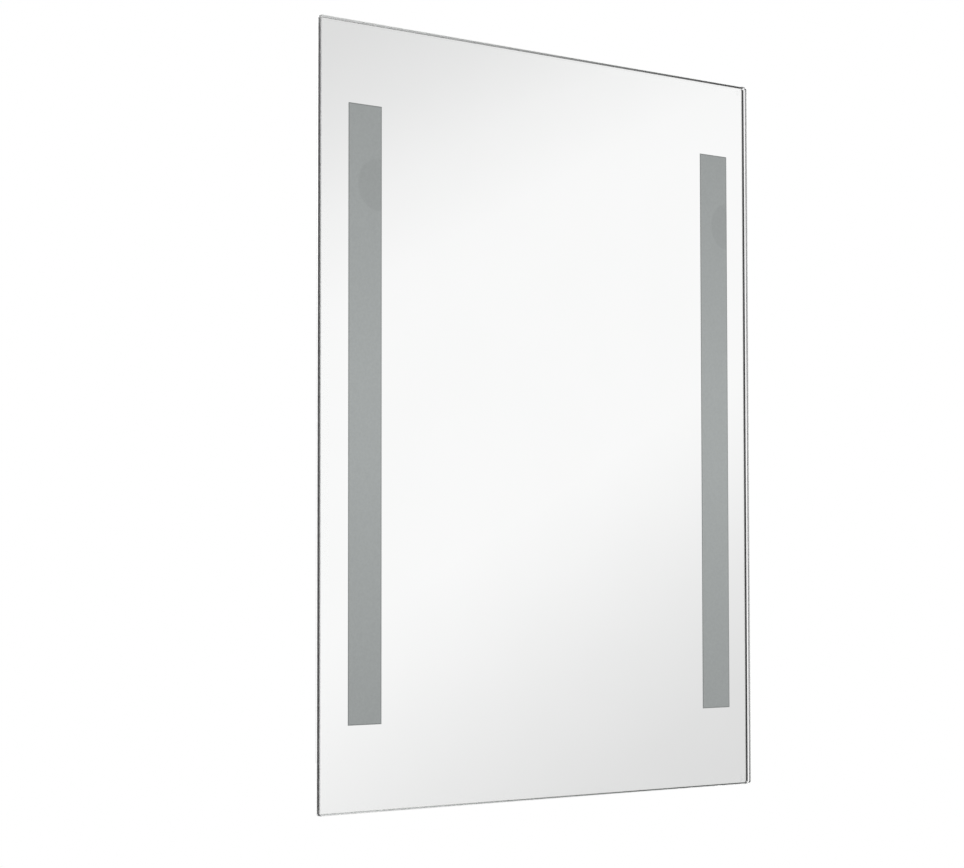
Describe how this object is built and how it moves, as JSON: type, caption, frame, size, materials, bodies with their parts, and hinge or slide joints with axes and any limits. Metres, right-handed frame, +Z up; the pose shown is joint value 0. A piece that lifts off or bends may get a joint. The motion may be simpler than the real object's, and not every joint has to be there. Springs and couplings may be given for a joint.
{
  "type": "lighted bathroom mirror",
  "caption": "Frameless rectangular wall mirror with two upright frosted light strips, a shallow chassis behind the glass and a lift-off wall rail.",
  "frame": {"origin": "on the wall, midway between the two fixing holes of the wall rail", "axes": "+X to the right as seen from the room, +Y into the wall, +Z up; the mirror faces -Y"},
  "size_m": [0.39, 0.0364, 0.5],
  "materials": {
    "clear_glass": "polished float glass, faintly green at the edges",
    "silver": "bright silvering",
    "frosted_film": "frosted, fine grained",
    "back_paint": "grey protective paint",
    "tape": "black foam tape",
    "white_steel": "white powder coat",
    "zinc_steel": "bright zinc plate",
    "rivet_aluminium": "satin",
    "soft_rubber": "matte",
    "opal_plastic": "opal",
    "board_laminate": "white solder mask",
    "led_lens": "clear over yellow phosphor",
    "white_plastic": "fine grained",
    "winding": "taped winding",
    "can": "sleeved",
    "brass_metal": "bright",
    "tinned_copper": "tinned",
    "black_plastic": "satin black",
    "brown_insulation": "smooth",
    "blue_insulation": "smooth",
    "green_yellow_insulation": "smooth",
    "white_insulation": "smooth"
  },
  "bodies": {
    "wall_rail": {"wall_rail": "zinc_steel"},
    "mirror_unit": {"backing_paint": "back_paint", "board_screws": "zinc_steel", "bonding_tape_bottom": "tape", "bonding_tape_left": "tape", "bonding_tape_right": "tape", "bonding_tape_top": "tape", "cable_clamp": "white_plastic", "cable_grommet": "soft_rubber", "clamp_screws": "zinc_steel", "corner_bracket_bottom_left": "zinc_steel", "corner_bracket_bottom_right": "zinc_steel", "corner_bracket_top_left": "zinc_steel", "corner_bracket_top_right": "zinc_steel", "corner_rivets": "rivet_aluminium", "diffuser_left": "opal_plastic", "diffuser_right": "opal_plastic", "driver_board": "board_laminate", "driver_capacitor": "can", "driver_case": "white_plastic", "driver_cover": "white_plastic", "driver_screws": "zinc_steel", "driver_transformer": "winding", "earth_lead": "green_yellow_insulation", "earth_nut": "brass_metal", "earth_ring": "tinned_copper", "earth_stud": "brass_metal", "frame_bottom": "white_steel", "frame_side_left": "white_steel", "frame_side_right": "white_steel", "frame_top": "white_steel", "frosted_strips": "frosted_film", "hanger_bracket": "zinc_steel", "hanger_rivets": "rivet_aluminium", "lead_clips": "white_plastic", "led_board_left": "board_laminate", "led_board_right": "board_laminate", "led_chips_left": "led_lens", "led_chips_right": "led_lens", "led_connector_left": "white_plastic", "led_connector_right": "white_plastic", "led_lead_left": "white_insulation", "led_lead_right": "white_insulation", "light_tray_left": "white_steel", "light_tray_right": "white_steel", "live_lead": "brown_insulation", "mirror_glass": "clear_glass", "neutral_lead": "blue_insulation", "panel_screws": "zinc_steel", "rear_panel": "white_steel", "silver_layer": "silver", "switch_body": "black_plastic", "switch_tabs": "brass_metal", "switched_lead": "brown_insulation", "terminal_block": "white_plastic", "terminal_screws": "brass_metal", "tray_rivets": "rivet_aluminium", "wall_bumper_left": "soft_rubber", "wall_bumper_right": "soft_rubber"},
    "switch_rocker": {"switch_rocker": "black_plastic"}
  },
  "joints": [
    {"name": "lift_off", "type": "slide", "parent": "wall_rail", "child": "mirror_unit", "axis": [0, 0, 1], "range_m": [0, 0.016]},
    {"name": "switch_rock", "type": "hinge", "parent": "mirror_unit", "child": "switch_rocker", "pos_m": [0.06, -0.016, -0.379], "axis": [0, -1, 0], "range_deg": [0, 24]}
  ]
}
